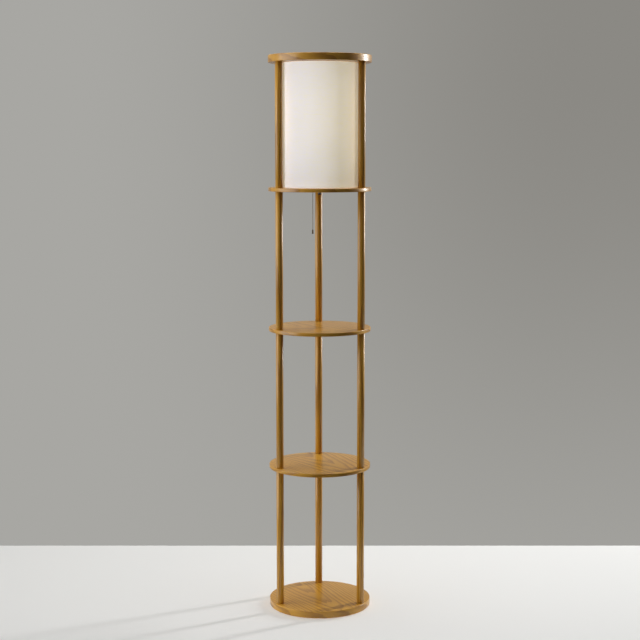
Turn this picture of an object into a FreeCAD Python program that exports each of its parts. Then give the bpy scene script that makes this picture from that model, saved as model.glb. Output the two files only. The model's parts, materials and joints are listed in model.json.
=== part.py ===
"""Three-tier round floor lamp with shelves: five wooden discs on three dowel posts, a linen drum shade
standing inside the posts at the top, and a pull-chain lampholder whose chain drops through the shade plate.

Millimetres, +Z up. The origin is the centre of the footprint on the floor; the front faces -Y.
The script writes one STEP file per piece to parts/.
"""

import FreeCAD
import Part
import math
import os

Vector = FreeCAD.Vector
UP = Vector(0, 0, 1)
ORIGIN = Vector(0, 0, 0)

# ---- wooden discs -------------------------------------------------------------------------------
disc_diameter = 292.0
base_thickness = 20.0
shelf_thickness = 10.0
ring_thickness = 20.0
ring_bore_diameter = 208.0
edge_chamfer = 1.2

# ---- posts: three columns of dowels, one dowel per stage ---------------------------------------------
post_diameter = 21.0
post_inset = 2.5              # from the disc's rim to the side of the post
post_sides = ("back", "left", "right")
back_post_angle = 91.3        # about the lamp's axis, from +X; the others follow at equal steps
shelf_stage_length = 388.5    # dowel length under each shelf and under the shade plate
shade_stage_length = 349.0    # dowel length beside the shade

# ---- screwed joints in the posts -----------------------------------------------------------------
stud_diameter = 8.0
stud_engagement = 18.0        # length of stud inside the end of a dowel
stud_side_clearance = 0.1     # stud to its tapped bore, threads left plain
bore_spare_depth = 3.0
pass_clearance = 0.4          # stud to the hole in a disc
bolt_head_diameter = 15.0
bolt_head_height = 4.4
bolt_head_recess = 1.6        # head sits this far above the base's underside
bolt_head_clearance = 0.5
bolt_socket_width = 5.0
bolt_socket_depth = 2.6
ring_stud_share = 0.7         # stud inside the top ring, as a share of the ring's thickness
ring_bore_spare = 1.0

# ---- floor pads -----------------------------------------------------------------------------------
pad_side = 26.0
pad_thickness = 3.0
pad_count = 6
pad_circle_radius = 112.0

# ---- drum shade -----------------------------------------------------------------------------------
shade_diameter = 216.0
shade_wall = 0.8
shade_lift = 0.5              # shade's lower edge above the plate
shade_top_gap = 1.0           # shade's upper edge below the top ring
wire_width = 3.0              # square section of the two shade rings
wire_fit = 0.2                # wire ring to the inside of the drum
wire_inset = 0.5              # wire ring from the drum's edge
fitter_diameter = 30.0
fitter_thickness = 2.0
arm_width = 5.0
arm_count = 3

# ---- lamp pipe and its stack -------------------------------------------------------------------------
pipe_diameter = 9.8
pipe_bore = 7.0
pipe_clearance = 0.2          # pipe to whatever it passes through
pipe_tail = 4.0               # pipe below the lower nut
pipe_grip = 7.0               # pipe inside the lampholder's neck
nut_across_flats = 15.0
nut_height = 3.0
washer_diameter = 23.0
washer_thickness = 1.5
stem_diameter = 15.0
stem_height = 50.0

# ---- cord outlet bushing in the pipe's lower end -----------------------------------------------------
bushing_bore = 5.8
bushing_flange_diameter = 11.0
bushing_flange_thickness = 2.0
bushing_depth = 8.0
bushing_fit = 0.1

# ---- lampholder ------------------------------------------------------------------------------------
holder_diameter = 36.0
holder_wall = 2.0
neck_diameter = 19.0
neck_height = 6.0
flare_height = 8.0
skirt_height = 9.0
plug_depth = 8.0              # part of the switch body inside the cap's skirt
plug_fit = 0.2
body_height = 43.0
chamber_diameter = 29.0
chamber_depth = 26.0
screw_shell_bore = 26.6
screw_shell_wall = 0.5
screw_shell_top_gap = 2.0
screw_shell_lip = 3.0         # inward lip at the shell's lower edge
contact_length = 16.0
contact_width = 6.0
contact_thickness = 0.8
contact_button_diameter = 5.0
contact_button_height = 1.2

# ---- pull switch: lever, pin and bead chain ------------------------------------------------------------
chain_offset = 20.0           # chain line from the lamp's axis, towards -X
lever_reach = 16.0            # pivot to chain line
lever_thickness = 1.2
lever_width = 5.0
lever_hub_diameter = 6.0
lever_tip_beyond_chain = 3.2
lever_slot_width = 1.4        # open slot in the tip that the chain's wire drops through
lever_slot_length = 6.5
lever_drop_from_chamber = 6.0  # pivot below the chamber's floor
lever_pocket_width = 7.0
lever_pocket_below = 9.0
lever_pocket_above = 2.0
lever_hub_clearance = 1.0
lever_pin_diameter = 2.0
lever_pin_length = 16.0
lever_pin_fit = 0.05
bead_diameter = 2.4
bead_pitch = 3.4
bead_sides = 6
bead_barrel = 0.4             # straight part of a bead, as a share of its height
chain_wire_width = 0.7
top_bead_seat = 0.1           # top bead above the lever
top_link_length = 5.2         # first link is longer, so that the lever can tilt between two beads
guide_bore = 4.4
guide_outer = 8.0
guide_height = 4.0
chain_hole_diameter = 8.0
pendant_length = 109.0        # chain below the plate, down to the fob
swivel_below_plate = 2.5
swivel_gap = 0.2
fob_diameter = 5.6
fob_height = 12.5
fob_eye_diameter = 2.6
fob_waist_diameter = 4.4
fob_shoulder = 3.0
fob_flare_height = 4.5

# ---- bulb -----------------------------------------------------------------------------------------
bulb_diameter = 60.0
bulb_length = 108.0
bulb_cap_diameter = 26.0
bulb_cap_length = 26.0
bulb_neck_diameter = 29.0
bulb_neck_rise = 6.0
bulb_cap_taper = 5.0
bulb_shoulder_angle = -35.0   # where the head meets the swelling neck, below its equator
bulb_bands = 4

# ---- levels worked out from the sizes above ------------------------------------------------------------
post_step = 360 / len(post_sides)
post_angles = {side: back_post_angle + post_step * k for k, side in enumerate(post_sides)}
disc_radius = disc_diameter / 2
post_circle_radius = disc_radius - post_inset - post_diameter / 2
base_bottom = pad_thickness
base_top = base_bottom + base_thickness
stage_pitch = shelf_stage_length + shelf_thickness
lower_shelf_top = base_top + stage_pitch
upper_shelf_top = lower_shelf_top + stage_pitch
plate_top = upper_shelf_top + stage_pitch
plate_bottom = plate_top - shelf_thickness
ring_bottom = plate_top + shade_stage_length
shade_bottom = plate_top + shade_lift
shade_top = ring_bottom - shade_top_gap
wire_outer_radius = shade_diameter / 2 - shade_wall - wire_fit

pipe_hole_radius = pipe_diameter / 2 + pipe_clearance
washer_bottom = plate_bottom - washer_thickness
lower_nut_bottom = washer_bottom - nut_height
pipe_bottom = lower_nut_bottom - pipe_tail
fitter_bottom = plate_top + nut_height
stem_bottom = fitter_bottom + fitter_thickness
holder_bottom = stem_bottom + stem_height
pipe_top = holder_bottom + pipe_grip
skirt_bottom = holder_bottom + neck_height + flare_height
skirt_top = skirt_bottom + skirt_height
body_top = skirt_top + body_height
chamber_floor = body_top - chamber_depth
lever_level = chamber_floor - lever_drop_from_chamber
lever_pivot = Vector(lever_reach - chain_offset, 0, lever_level)
contact_top = chamber_floor + contact_thickness + contact_button_height
bulb_bottom = contact_top
bulb_top = bulb_bottom + bulb_length
swivel_level = plate_bottom - swivel_below_plate
chain_line = Vector(-chain_offset, 0, 0)


# ---- small tools -------------------------------------------------------------------------------------
def rod(diameter, bottom, top, at=ORIGIN):
    """A round bar along Z between two levels, about the line through at."""
    return Part.makeCylinder(diameter / 2, top - bottom, Vector(at.x, at.y, bottom), UP)


def tube(outer, inner, bottom, top, at=ORIGIN):
    """A round bar with a through bore."""
    return rod(outer, bottom, top, at).cut(rod(inner, bottom, top, at))


def block(x0, x1, y0, y1, z0, z1):
    """A rectangular block between two corners."""
    return Part.makeBox(x1 - x0, y1 - y0, z1 - z0, Vector(x0, y0, z0))


def turned(outline, at=ORIGIN):
    """A solid turned about the Z line through at, from a closed outline of (radius, level) points."""
    points = [Vector(at.x + radius, at.y, level) for radius, level in outline]
    face = Part.Face(Part.makePolygon(points + points[:1]))
    return face.revolve(at, UP, 360)


def polar(radius, degrees, level=0.0):
    """The point at a radius and an angle about the lamp's axis."""
    angle = math.radians(degrees)
    return Vector(radius * math.cos(angle), radius * math.sin(angle), level)


def post_points():
    """Where the three posts stand, as points on the floor."""
    return [polar(post_circle_radius, angle) for angle in post_angles.values()]


def hexagon_bar(across_flats, bottom, top, at=ORIGIN):
    """A six-sided bar along Z."""
    corner = across_flats / 2 / math.cos(math.pi / 6)
    corners = [polar(corner, 60 * k, bottom) + Vector(at.x, at.y, 0) for k in range(7)]
    return Part.Face(Part.makePolygon(corners)).extrude(Vector(0, 0, top - bottom))


def each_post(make):
    """One compound of the solids that make(point) gives at the three posts."""
    return Part.makeCompound([make(point) for point in post_points()])


# ---- wooden pieces --------------------------------------------------------------------------------------
def chamfered_disc(bottom, thickness, chamfer):
    """A round board with both rim edges eased."""
    top = bottom + thickness
    return turned([
        (0, bottom), (disc_radius - chamfer, bottom), (disc_radius, bottom + chamfer),
        (disc_radius, top - chamfer), (disc_radius - chamfer, top), (0, top),
    ])


def drilled_for_studs(board, bottom, top):
    """The board with a clearance hole for the stud of each post."""
    hole = stud_diameter + 2 * pass_clearance
    for point in post_points():
        board = board.cut(rod(hole, bottom, top, point))
    return board


def base_disc():
    """Thick foot, counterbored from below for the three bolts that hold the posts."""
    board = chamfered_disc(base_bottom, base_thickness, edge_chamfer)
    board = drilled_for_studs(board, base_bottom, base_top)
    recess = bolt_head_diameter + 2 * bolt_head_clearance
    for point in post_points():
        board = board.cut(rod(recess, base_bottom, bolt_head_top(), point))
    return board


def shelf(top):
    """A thin round shelf clamped between two stages of dowels."""
    bottom = top - shelf_thickness
    return drilled_for_studs(rod(disc_diameter, bottom, top), bottom, top)


def shade_plate():
    """Thin board under the shade, drilled for the lamp pipe and for the pull chain."""
    board = shelf(plate_top)
    board = board.cut(rod(2 * pipe_hole_radius, plate_bottom, plate_top))
    return board.cut(rod(chain_hole_diameter, plate_bottom, plate_top, chain_line))


def top_ring():
    """Thick open ring over the shade, with blind holes for the studs of the uppermost dowels."""
    ring = chamfered_disc(ring_bottom, ring_thickness, edge_chamfer)
    ring = ring.cut(rod(ring_bore_diameter, ring_bottom, ring_bottom + ring_thickness))
    for point in post_points():
        bore_top = ring_bottom + ring_stud_depth() + ring_bore_spare
        ring = ring.cut(rod(stud_bore(), ring_bottom, bore_top, point))
    return ring


def stud_bore():
    """Diameter of a tapped bore in a dowel's end."""
    return stud_diameter + 2 * stud_side_clearance


def ring_stud_depth():
    """Length of stud inside the top ring, whose upper face stays closed."""
    return ring_stud_share * ring_thickness


def dowel(point, bottom, top):
    """One post section with a tapped bore in each end."""
    depth = stud_engagement + bore_spare_depth
    section = rod(post_diameter, bottom, top, point)
    section = section.cut(rod(stud_bore(), bottom, bottom + depth, point))
    return section.cut(rod(stud_bore(), top - depth, top, point))


def posts():
    """The twelve dowels by name, stage by stage from the floor up."""
    stages = {
        "lower": (base_top, shelf_stage_length),
        "middle": (lower_shelf_top, shelf_stage_length),
        "upper": (upper_shelf_top, shelf_stage_length),
        "shade": (plate_top, shade_stage_length),
    }
    pieces = {}
    for stage, (bottom, length) in stages.items():
        for side, angle in post_angles.items():
            point = polar(post_circle_radius, angle)
            pieces[f"{stage}_post_{side}"] = dowel(point, bottom, bottom + length)
    return pieces


# ---- fasteners and pads ---------------------------------------------------------------------------------
def studs_through(top):
    """Three double-ended studs through the board whose upper face is at top."""
    low = top - shelf_thickness - stud_engagement
    return each_post(lambda point: rod(stud_diameter, low, top + stud_engagement, point))


def ring_studs():
    """Three studs from the uppermost dowels into the top ring."""
    low = ring_bottom - stud_engagement
    return each_post(lambda point: rod(stud_diameter, low, ring_bottom + ring_stud_depth(), point))


def bolt_head_top():
    """Level of the seat of the bolt heads inside the base."""
    return base_bottom + bolt_head_recess + bolt_head_height


def base_bolt(point):
    """A flat-headed bolt with a hexagon socket, driven up through the base into a dowel."""
    head_bottom = base_bottom + bolt_head_recess
    head = rod(bolt_head_diameter, head_bottom, bolt_head_top(), point)
    shank = rod(stud_diameter, bolt_head_top(), base_top + stud_engagement, point)
    socket = hexagon_bar(bolt_socket_width, head_bottom, head_bottom + bolt_socket_depth, point)
    return head.fuse(shank).removeSplitter().cut(socket)


def floor_pads():
    """Square felt pads under the base, spaced clear of the bolts."""
    step = 360 / pad_count
    pads = []
    for k in range(pad_count):
        angle = back_post_angle + step * (k + 0.5)
        pad = block(-pad_side / 2, pad_side / 2, -pad_side / 2, pad_side / 2, 0, pad_thickness)
        pad.rotate(ORIGIN, UP, angle)
        pad.translate(polar(pad_circle_radius, angle))
        pads.append(pad)
    return Part.makeCompound(pads)


# ---- shade ------------------------------------------------------------------------------------------------
def shade_drum():
    """The linen drum, a plain open cylinder."""
    return tube(shade_diameter, shade_diameter - 2 * shade_wall, shade_bottom, shade_top)


def wire_ring(bottom):
    """A ring of square wire that holds one edge of the drum round."""
    outer = 2 * wire_outer_radius
    return tube(outer, outer - 2 * wire_width, bottom, bottom + wire_width)


def shade_spider():
    """Lower wire ring with three flat arms and the washer that the lamp pipe clamps."""
    ring = wire_ring(shade_bottom + wire_inset)
    reach = wire_outer_radius - wire_width / 2
    hub = rod(fitter_diameter, fitter_bottom, fitter_bottom + fitter_thickness)
    for k in range(arm_count):
        arm = block(0, reach, -arm_width / 2, arm_width / 2, fitter_bottom, fitter_bottom + fitter_thickness)
        arm.rotate(ORIGIN, UP, back_post_angle + 360 / arm_count * k)
        hub = hub.fuse(arm)
    hub = hub.cut(rod(2 * pipe_hole_radius, fitter_bottom, fitter_bottom + fitter_thickness))
    return ring.fuse(hub).removeSplitter()


# ---- lamp pipe, nuts and stem --------------------------------------------------------------------------------
def pipe_nut(bottom):
    """A thin hexagon nut on the lamp pipe."""
    return hexagon_bar(nut_across_flats, bottom, bottom + nut_height).cut(
        rod(2 * pipe_hole_radius, bottom, bottom + nut_height))


def cord_bushing():
    """Flanged insulating bushing through which the supply cord leaves the pipe."""
    sleeve_radius = pipe_bore / 2 - bushing_fit
    flange_bottom = pipe_bottom - bushing_flange_thickness
    return turned([
        (bushing_bore / 2, flange_bottom), (bushing_flange_diameter / 2, flange_bottom),
        (bushing_flange_diameter / 2, pipe_bottom), (sleeve_radius, pipe_bottom),
        (sleeve_radius, pipe_bottom + bushing_depth), (bushing_bore / 2, pipe_bottom + bushing_depth),
    ])


# ---- lampholder -----------------------------------------------------------------------------------------------
def socket_cap():
    """Bell-shaped cup on the stem, with the lug that guides the pull chain."""
    outer, neck = holder_diameter / 2, neck_diameter / 2
    inner = outer - holder_wall
    neck_top = holder_bottom + neck_height
    cup = turned([
        (pipe_hole_radius, holder_bottom), (neck, holder_bottom), (neck, neck_top), (outer, skirt_bottom),
        (outer, skirt_top), (inner, skirt_top), (inner, skirt_bottom), (pipe_hole_radius, neck_top + holder_wall),
    ])
    lug_top = skirt_top - holder_wall
    lug = rod(guide_outer, lug_top - guide_height, lug_top, chain_line)
    web = block(-chain_offset, -inner, -guide_outer / 2, guide_outer / 2, lug_top - guide_height, lug_top)
    chain_way = rod(guide_bore, lug_top - guide_height, lug_top, chain_line)
    bore = rod(2 * inner, lug_top - guide_height, lug_top)
    return cup.fuse(lug.fuse(web).cut(bore)).cut(chain_way).removeSplitter()


def socket_body():
    """Insulating body: a plug inside the cap, the lever's pocket, and the open chamber for the bulb."""
    plug = rod(holder_diameter - 2 * holder_wall - 2 * plug_fit, skirt_top - plug_depth, skirt_top)
    body = rod(holder_diameter, skirt_top, body_top)
    body = body.cut(rod(chamber_diameter, chamber_floor, body_top)).fuse(plug)
    pocket = block(-holder_diameter, lever_pivot.x + lever_hub_diameter, -lever_pocket_width / 2,
                   lever_pocket_width / 2, lever_level - lever_pocket_below, lever_level + lever_pocket_above)
    pocket = pocket.fuse(pin_bar(lever_pocket_width / 2, lever_hub_diameter / 2, lever_hub_clearance))
    body = body.cut(pocket).cut(pin_bar(lever_pin_length / 2, lever_pin_diameter / 2, lever_pin_fit))
    return body.removeSplitter()


def pin_bar(half_length, radius, clearance):
    """A bar along Y on the lever's pivot line."""
    start = lever_pivot - Vector(0, half_length, 0)
    return Part.makeCylinder(radius + clearance, 2 * half_length, start, Vector(0, 1, 0))


def screw_shell():
    """Threaded contact sleeve, drawn plain, with an inward lip that rests on the chamber's floor."""
    inner = screw_shell_bore / 2
    outer = inner + screw_shell_wall
    lip = inner - screw_shell_lip
    return turned([
        (lip, chamber_floor), (outer, chamber_floor), (outer, body_top - screw_shell_top_gap),
        (inner, body_top - screw_shell_top_gap), (inner, chamber_floor + screw_shell_wall),
        (lip, chamber_floor + screw_shell_wall),
    ])


def centre_contact():
    """Spring strip with a button on the floor of the chamber."""
    strip = block(-contact_length / 2, contact_length / 2, -contact_width / 2, contact_width / 2,
                  chamber_floor, chamber_floor + contact_thickness)
    return strip.fuse(rod(contact_button_diameter, chamber_floor + contact_thickness, contact_top))


# ---- pull switch ---------------------------------------------------------------------------------------------
def pull_lever():
    """Flat lever on a hub, with an open slot in the tip that the chain hangs in."""
    tip = -chain_offset - lever_tip_beyond_chain
    half = lever_width / 2
    arm = block(tip, lever_pivot.x, -half, half, lever_level - lever_thickness / 2,
                lever_level + lever_thickness / 2)
    slot = block(tip, tip + lever_slot_length, -lever_slot_width / 2, lever_slot_width / 2,
                 lever_level - lever_thickness, lever_level + lever_thickness)
    hub = pin_bar(half, lever_hub_diameter / 2, 0)
    return arm.cut(slot).fuse(hub).cut(pin_bar(half, lever_pin_diameter / 2, lever_pin_fit)).removeSplitter()


def bead_outline(level):
    """The widths of the chain at one bead, from its top to its bottom, as (radius, level) pairs."""
    wire, waist = chain_wire_width / 2, bead_diameter / 2
    return [(wire, level + waist), (waist, level + waist * bead_barrel),
            (waist, level - waist * bead_barrel), (wire, level - waist)]


def faceted_bar(outline):
    """A closed bar of flat facets along the chain's line, from (radius, level) pairs from the top down."""
    rings = []
    for radius, level in outline:
        corners = [chain_line + polar(radius, 360 / bead_sides * k, level) for k in range(bead_sides + 1)]
        rings.append(corners)
    faces = [Part.Face(Part.makePolygon(ring)) for ring in (rings[0], rings[-1])]
    for high, low in zip(rings, rings[1:]):
        for k in range(bead_sides):
            corners = [high[k], high[k + 1], low[k + 1], low[k], high[k]]
            faces.append(Part.Face(Part.makePolygon(corners)))
    solid = Part.Solid(Part.makeShell(faces))
    return solid if solid.Volume > 0 else solid.reversed()


def chain_run(bead_levels, wire_top, wire_bottom):
    """A run of beads on one fine wire along the chain's line."""
    wire = chain_wire_width / 2
    outline = [(wire, wire_top)] if wire_top > bead_levels[0] + bead_diameter / 2 else []
    for level in bead_levels:
        outline += bead_outline(level)
    if wire_bottom < bead_levels[-1] - bead_diameter / 2:
        outline.append((wire, wire_bottom))
    return faceted_bar(outline)


def top_bead_level():
    """Centre of the bead that rests on the lever's tip."""
    return lever_level + lever_thickness / 2 + top_bead_seat + bead_diameter / 2


def upper_chain():
    """Chain from the lever down to the swivelling bead just under the plate."""
    start = top_bead_level() - top_link_length
    count = round((start - swivel_level) / bead_pitch)
    step = (start - swivel_level) / count
    levels = [start - step * k for k in range(count + 1)]
    return chain_run([top_bead_level()] + levels, top_bead_level(), swivel_level)


def lower_chain():
    """Chain that hangs and swings below the plate, down to the fob."""
    bottom = plate_bottom - pendant_length
    top = swivel_level - bead_diameter / 2 - swivel_gap
    count = round((swivel_level - bottom) / bead_pitch)
    step = (swivel_level - bottom) / count
    levels = [swivel_level - step * k for k in range(1, count)]
    return chain_run(levels, top, bottom)


def chain_fob():
    """Small turned weight at the chain's end."""
    top = plate_bottom - pendant_length
    bottom = top - fob_height
    flare, waist = fob_diameter / 2, fob_waist_diameter / 2
    return turned([
        (0, top), (fob_eye_diameter / 2, top), (waist, top - fob_shoulder),
        (waist, bottom + fob_flare_height), (flare, bottom), (0, bottom),
    ], chain_line)


# ---- bulb -----------------------------------------------------------------------------------------------------
def bulb_cap():
    """Metal screw cap of the bulb, tapered to its tip contact."""
    rim = bulb_cap_diameter / 2
    top = bulb_bottom + bulb_cap_length
    return turned([
        (0, bulb_bottom), (contact_button_diameter / 2, bulb_bottom), (rim, bulb_bottom + bulb_cap_taper),
        (rim, top), (0, top),
    ])


def bulb_globe():
    """Glass envelope: a neck that swells into a round head, turned from short straight stretches."""
    head, neck = bulb_diameter / 2, bulb_neck_diameter / 2
    bottom = bulb_bottom + bulb_cap_length
    centre = bulb_top - head
    outline = [(0, bottom), (neck, bottom), (neck, bottom + bulb_neck_rise)]
    for k in range(bulb_bands):
        lean = math.radians(bulb_shoulder_angle + (90 - bulb_shoulder_angle) * k / bulb_bands)
        outline.append((head * math.cos(lean), centre + head * math.sin(lean)))
    return turned(outline + [(0, bulb_top)])


# ---- the lamp ----------------------------------------------------------------------------------------------------
def pieces():
    """Every piece of the lamp by name."""
    made = {
        "floor_pads": floor_pads(),
        "base_disc": base_disc(),
        "base_bolts": each_post(base_bolt),
        "lower_shelf": shelf(lower_shelf_top),
        "lower_shelf_studs": studs_through(lower_shelf_top),
        "upper_shelf": shelf(upper_shelf_top),
        "upper_shelf_studs": studs_through(upper_shelf_top),
        "shade_plate": shade_plate(),
        "shade_plate_studs": studs_through(plate_top),
        "top_ring": top_ring(),
        "top_ring_studs": ring_studs(),
        "shade_drum": shade_drum(),
        "shade_top_wire": wire_ring(shade_top - wire_inset - wire_width),
        "shade_spider": shade_spider(),
        "lamp_pipe": tube(pipe_diameter, pipe_bore, pipe_bottom, pipe_top),
        "pipe_washer": tube(washer_diameter, 2 * pipe_hole_radius, washer_bottom, plate_bottom),
        "lower_pipe_nut": pipe_nut(lower_nut_bottom),
        "upper_pipe_nut": pipe_nut(plate_top),
        "stem_tube": tube(stem_diameter, 2 * pipe_hole_radius, stem_bottom, holder_bottom),
        "cord_bushing": cord_bushing(),
        "socket_cap": socket_cap(),
        "socket_body": socket_body(),
        "screw_shell": screw_shell(),
        "centre_contact": centre_contact(),
        "pull_lever": pull_lever(),
        "lever_pin": pin_bar(lever_pin_length / 2, lever_pin_diameter / 2, 0),
        "upper_chain": upper_chain(),
        "lower_chain": lower_chain(),
        "chain_fob": chain_fob(),
        "bulb_cap": bulb_cap(),
        "bulb_globe": bulb_globe(),
    }
    made.update(posts())
    return made


os.makedirs("parts", exist_ok=True)
for name, shape in pieces().items():
    if not shape.isValid():
        raise ValueError(f"{name} isn't a valid shape")
    shape.exportStep(f"parts/{name}.step")
    print(f"{name:22s} {len(shape.Solids):2d} solids  {shape.Volume / 1000:9.2f} cm3")
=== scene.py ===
"""The looks of the shelf floor lamp: oak boards and dowels, a linen drum shade and its wire rings, the
pull-chain lampholder with its bulb, and the bead chain with its fob.

Metres, +Z up, the lamp's front faces -Y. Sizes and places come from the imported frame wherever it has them.
"""

import json
import logging
import math
from dataclasses import dataclass, field
from enum import Enum
from typing import Iterable, Union

import bmesh
import bpy
from mathutils import Matrix, Vector

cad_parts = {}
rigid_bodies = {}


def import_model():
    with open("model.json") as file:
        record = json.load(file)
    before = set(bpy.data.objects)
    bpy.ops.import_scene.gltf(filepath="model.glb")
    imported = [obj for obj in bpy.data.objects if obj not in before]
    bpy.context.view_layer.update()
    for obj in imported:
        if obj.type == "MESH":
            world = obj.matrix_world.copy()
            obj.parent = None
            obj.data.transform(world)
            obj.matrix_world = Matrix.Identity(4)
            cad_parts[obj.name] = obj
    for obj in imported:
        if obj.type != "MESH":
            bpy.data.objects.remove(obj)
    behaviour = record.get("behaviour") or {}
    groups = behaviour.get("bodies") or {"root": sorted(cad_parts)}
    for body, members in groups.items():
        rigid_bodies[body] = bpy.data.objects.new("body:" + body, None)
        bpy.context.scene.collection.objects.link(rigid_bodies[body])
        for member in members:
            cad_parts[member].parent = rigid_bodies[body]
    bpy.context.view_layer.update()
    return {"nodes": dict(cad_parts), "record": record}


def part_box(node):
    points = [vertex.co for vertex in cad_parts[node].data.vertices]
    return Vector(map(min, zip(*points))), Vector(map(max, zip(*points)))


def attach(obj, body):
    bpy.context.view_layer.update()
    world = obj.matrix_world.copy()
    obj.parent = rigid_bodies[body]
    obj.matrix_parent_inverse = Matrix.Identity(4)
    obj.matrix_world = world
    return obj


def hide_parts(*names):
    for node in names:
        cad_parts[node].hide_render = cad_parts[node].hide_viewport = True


logging.basicConfig(level=logging.INFO, format="%(message)s")
log = logging.getLogger("lamp")

Point = tuple[float, float]
Triple = tuple[float, float, float]
Colour = tuple[float, float, float, float]
Edges = list[bmesh.types.BMEdge]

UP = Vector((0.0, 0.0, 1.0))
ORIGIN = Vector()
MM = 0.001
BLACK: Colour = (0.0, 0.0, 0.0, 1.0)
GRAIN = "grain"
WEAVE = "weave"

# On a CAD node, points closer than the first are made one, and so are faces that meet at less than the
# second, in degrees.
CAD_WELD = 0.002 * MM
CAD_FLATNESS = 0.6


def linear(value: int) -> float:
    """One channel as a screen shows it, 0 to 255, given back as linear light by the sRGB curve."""
    share = value / 255
    return share / 12.92 if share <= 0.04045 else ((share + 0.055) / 1.055) ** 2.4


def tone(red: int, green: int, blue: int) -> Colour:
    """A colour as a screen shows it, given back as linear light."""
    return linear(red), linear(green), linear(blue), 1.0


def unwrap(angle: float, heading: float) -> float:
    """The angle, plus or minus whole turns, so that it lies within half a turn of a heading."""
    return heading + (angle - heading + math.pi) % math.tau - math.pi


class Body(Enum):
    """The parts of the lamp that move by themselves."""

    LAMP = "lamp"
    CHAIN = "chain"
    PENDANT = "pendant"
    LEVER = "lever"


class Slot(Enum):
    """The record's material slots."""

    OAK = "oak"
    LINEN = "linen"
    FELT = "felt"
    WHITE_WIRE = "white_wire"
    ZINC_STEEL = "zinc_steel"
    SATIN_STEEL = "satin_steel"
    PHENOLIC = "phenolic"
    NYLON = "nylon"
    CONTACT_BRASS = "contact_brass"
    CHAIN_NICKEL = "chain_nickel"
    FOB_BRONZE = "fob_bronze"
    BULB_CAP = "bulb_cap_metal"
    BULB_OPAL = "bulb_opal"


@dataclass(frozen=True)
class Extent:
    """The box round a CAD node at rest."""

    low: Vector
    high: Vector

    @classmethod
    def of(cls, node: str) -> "Extent":
        """The extent of the named node."""
        return cls(*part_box(node))

    @property
    def bottom(self) -> float:
        """Level of the node's lower end."""
        return self.low.z

    @property
    def top(self) -> float:
        """Level of the node's upper end."""
        return self.high.z

    @property
    def centre(self) -> Vector:
        """The middle of the box."""
        return (self.low + self.high) / 2

    @property
    def radius(self) -> float:
        """Half the box's width along X."""
        return (self.high.x - self.low.x) / 2


# ---- shading -----------------------------------------------------------------------------
Value = Union["Signal", float]
Paint = Union["Signal", Colour]


class Signal:
    """A socket's value, on which Python's arithmetic adds Math nodes."""

    def __init__(self, recipe: "Recipe", socket: bpy.types.NodeSocket) -> None:
        """Wraps a socket of a recipe.

        Args:
            recipe: The recipe whose nodes the arithmetic adds to.
            socket: The output that the signal reads.
        """
        self.recipe = recipe
        self.socket = socket

    def maths(self, operation: str, *others: Value, flip: bool = False) -> "Signal":
        """One Math node.

        Args:
            operation: The node's operation.
            others: The further inputs, as signals or numbers.
            flip: Whether this signal is the second input, as in 1 - signal.

        Returns:
            The node's result.
        """
        values = [self, *others]
        if flip:
            values.reverse()
        node = self.recipe.add("ShaderNodeMath", {"operation": operation}, dict(enumerate(values)))
        return self.recipe.signal(node)

    def __add__(self, other: Value) -> "Signal":
        """Sum."""
        return self.maths("ADD", other)

    __radd__ = __add__

    def __sub__(self, other: Value) -> "Signal":
        """Difference."""
        return self.maths("SUBTRACT", other)

    def __rsub__(self, other: Value) -> "Signal":
        """Difference from a number."""
        return self.maths("SUBTRACT", other, flip=True)

    def __mul__(self, other: Value) -> "Signal":
        """Product."""
        return self.maths("MULTIPLY", other)

    __rmul__ = __mul__

    def __truediv__(self, other: Value) -> "Signal":
        """Quotient."""
        return self.maths("DIVIDE", other)

    def __rtruediv__(self, other: Value) -> "Signal":
        """A number divided by this."""
        return self.maths("DIVIDE", other, flip=True)

    def fract(self) -> "Signal":
        """The part after the decimal point."""
        return self.maths("FRACT")

    def root(self) -> "Signal":
        """Square root."""
        return self.maths("SQRT")

    def sine(self) -> "Signal":
        """Sine of an angle in radians."""
        return self.maths("SINE")

    def at_most_one(self) -> "Signal":
        """The value, or 1 where it is greater."""
        return self.maths("MINIMUM", 1.0)

    def ramp(self, start: float, end: float) -> "Signal":
        """A smooth step from 0 to 1.

        Args:
            start: The value at which it leaves 0.
            end: The value at which it reaches 1.

        Returns:
            The step.
        """
        node = self.recipe.add("ShaderNodeMapRange", {"interpolation_type": "SMOOTHSTEP"},
                               {"Value": self, "From Min": start, "From Max": end})
        return self.recipe.signal(node)


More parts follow.
